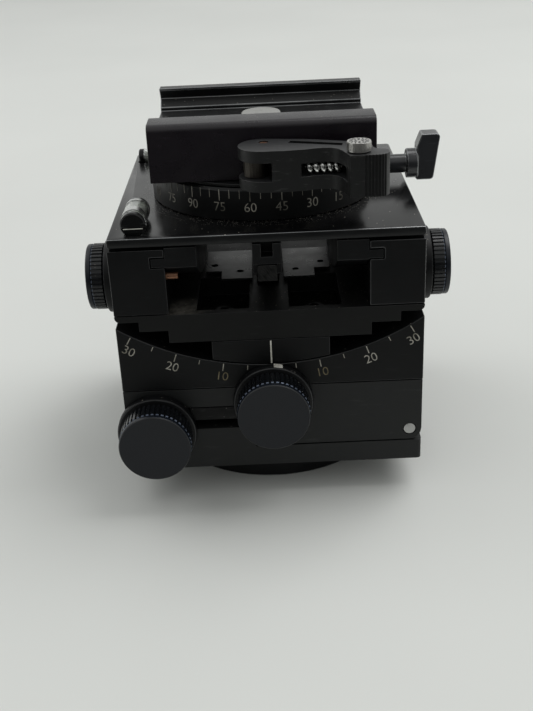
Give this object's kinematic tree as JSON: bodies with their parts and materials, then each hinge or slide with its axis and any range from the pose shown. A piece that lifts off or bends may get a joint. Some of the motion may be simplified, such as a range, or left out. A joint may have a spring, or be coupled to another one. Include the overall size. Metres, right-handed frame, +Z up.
{
  "type": "geared tripod head",
  "caption": "Geared tripod head with two stacked gear-driven tilt cradles, a side-flip hinge, a graduated pan drum and a lever clamp for dovetail camera plates.",
  "frame": {"origin": "centre of the base disc's underside, on the floor", "axes": "+Z up, +X to the right and +Y away from someone facing the roll scale, so the clamp lever is at the front (-Y)"},
  "size_m": [0.1106, 0.107, 0.1073],
  "materials": {
    "black_anodised": "black anodised, satin",
    "dark_plastic": "moulded, satin",
    "bright_steel": "turned",
    "brass": "cut teeth, greased",
    "knob_grey": "dark grey anodised",
    "purple_black": "faded black anodised",
    "clear_vial": "clear, polished"
  },
  "bodies": {
    "base": {"base_disc": "black_anodised", "thread_bush": "bright_steel", "foot_plate": "black_anodised", "hinge_pin": "bright_steel", "flip_lock_collar": "black_anodised"},
    "flip_lock": {"flip_lock_screw": "bright_steel", "flip_lock_knob": "knob_grey"},
    "lower": {"body_block": "black_anodised", "spacer_strip_front": "dark_plastic", "spacer_strip_rear": "dark_plastic", "arc_wall_front": "black_anodised", "arc_wall_rear": "black_anodised"},
    "roll_drive": {"roll_shaft": "bright_steel", "roll_knob_front": "knob_grey", "roll_knob_rear": "knob_grey", "roll_pinion_front": "brass", "roll_pinion_rear": "brass"},
    "roll_ring_front": {"roll_ring_front": "black_anodised"},
    "roll_ring_rear": {"roll_ring_rear": "black_anodised"},
    "cradle": {"cradle_floor": "black_anodised", "side_block_left": "black_anodised", "side_block_right": "black_anodised", "pointer_plate_front": "black_anodised", "pointer_plate_rear": "black_anodised", "roll_rail_front": "black_anodised", "roll_rail_rear": "black_anodised", "roll_rack_front": "brass", "roll_rack_rear": "brass", "gear_cover_left": "dark_plastic", "gear_cover_right": "dark_plastic", "travel_stop_pin": "brass"},
    "pitch_drive": {"pitch_shaft": "bright_steel", "pitch_knob_left": "knob_grey", "pitch_knob_right": "knob_grey", "pitch_pinion": "brass"},
    "pitch_ring_left": {"pitch_ring_left": "black_anodised"},
    "pitch_ring_right": {"pitch_ring_right": "black_anodised"},
    "top": {"top_plate": "black_anodised", "top_rail_left": "black_anodised", "top_rail_right": "black_anodised", "pitch_rack": "black_anodised", "stop_tab": "bright_steel", "vial_tube": "clear_vial", "vial_cap": "dark_plastic", "cross_vial_tube": "clear_vial", "cross_vial_cap": "dark_plastic", "pan_drum": "black_anodised"},
    "pan_lock": {"pan_lock_screw": "black_anodised"},
    "clamp": {"pan_rotor": "black_anodised", "clamp_base": "black_anodised", "clamp_centre_screw": "bright_steel", "guide_pin_left": "bright_steel", "guide_pin_right": "bright_steel", "tie_bolt": "bright_steel", "lever_pin": "bright_steel"},
    "jaw": {"front_jaw": "purple_black"},
    "lever": {"clamp_lever": "dark_plastic", "safety_anchor_pin": "brass", "safety_spring": "bright_steel"},
    "safety": {"safety_button": "bright_steel"}
  },
  "joints": [
    {"name": "flip", "type": "hinge", "parent": "base", "child": "lower", "pos_m": [0.039, 0, 0.01945], "axis": [0, 1, 0], "range_deg": [0, 90]},
    {"name": "flip_lock_turn", "type": "hinge", "parent": "base", "child": "flip_lock", "pos_m": [-0.0336, 0, 0.0228], "axis": [0, 1, 0], "range_deg": [0, 270]},
    {"name": "roll", "type": "hinge", "parent": "lower", "child": "cradle", "pos_m": [0, 0, 0.1192], "axis": [0, 1, 0], "range_deg": [-28, 28]},
    {"name": "roll_knob_turn", "type": "hinge", "parent": "lower", "child": "roll_drive", "pos_m": [0, 0, 0.0312], "axis": [0, 1, 0], "range_deg": [-486, 486]},
    {"name": "roll_ring_front_turn", "type": "hinge", "parent": "lower", "child": "roll_ring_front", "pos_m": [0, -0.044, 0.0312], "axis": [0, 1, 0], "range_deg": [0, 40]},
    {"name": "roll_ring_rear_turn", "type": "hinge", "parent": "lower", "child": "roll_ring_rear", "pos_m": [0, 0.044, 0.0312], "axis": [0, 1, 0], "range_deg": [0, 40]},
    {"name": "pitch", "type": "hinge", "parent": "cradle", "child": "top", "pos_m": [0, 0, 0.1382], "axis": [1, 0, 0], "range_deg": [-25, 25]},
    {"name": "pitch_knob_turn", "type": "hinge", "parent": "cradle", "child": "pitch_drive", "pos_m": [0, 0, 0.0542], "axis": [1, 0, 0], "range_deg": [-413, 413]},
    {"name": "pitch_ring_left_turn", "type": "hinge", "parent": "cradle", "child": "pitch_ring_left", "pos_m": [-0.05, 0, 0.0542], "axis": [1, 0, 0], "range_deg": [0, 40]},
    {"name": "pitch_ring_right_turn", "type": "hinge", "parent": "cradle", "child": "pitch_ring_right", "pos_m": [0.05, 0, 0.0542], "axis": [1, 0, 0], "range_deg": [0, 40]},
    {"name": "pan", "type": "hinge", "parent": "top", "child": "clamp", "pos_m": [0, 0, 0.0906], "axis": [0, 0, 1], "range_deg": [-288, 10]},
    {"name": "pan_lock_turn", "type": "hinge", "parent": "top", "child": "pan_lock", "pos_m": [0.045, 0, 0.0859], "axis": [1, 0, 0], "range_deg": [0, 180]},
    {"name": "lever_open", "type": "hinge", "parent": "clamp", "child": "lever", "pos_m": [-0.0019, -0.0354, 0.0968], "axis": [0, 0, -1], "range_deg": [0, 100]},
    {"name": "jaw_slide", "type": "slide", "parent": "clamp", "child": "jaw", "axis": [0, -1, 0], "range_m": [0, 0.0027]},
    {"name": "safety_slide", "type": "slide", "parent": "lever", "child": "safety", "axis": [-1, 0, 0], "range_m": [0, 0.0012], "stiffness_N_per_m": 300, "springref_m": -0.002}
  ],
  "couplings": [
    {"joint": "roll_knob_turn", "follows": "roll", "ratio": -17.333},
    {"joint": "pitch_knob_turn", "follows": "pitch", "ratio": -16.5},
    {"joint": "jaw_slide", "follows": "lever_open", "m_per_rad": 0.001524}
  ]
}
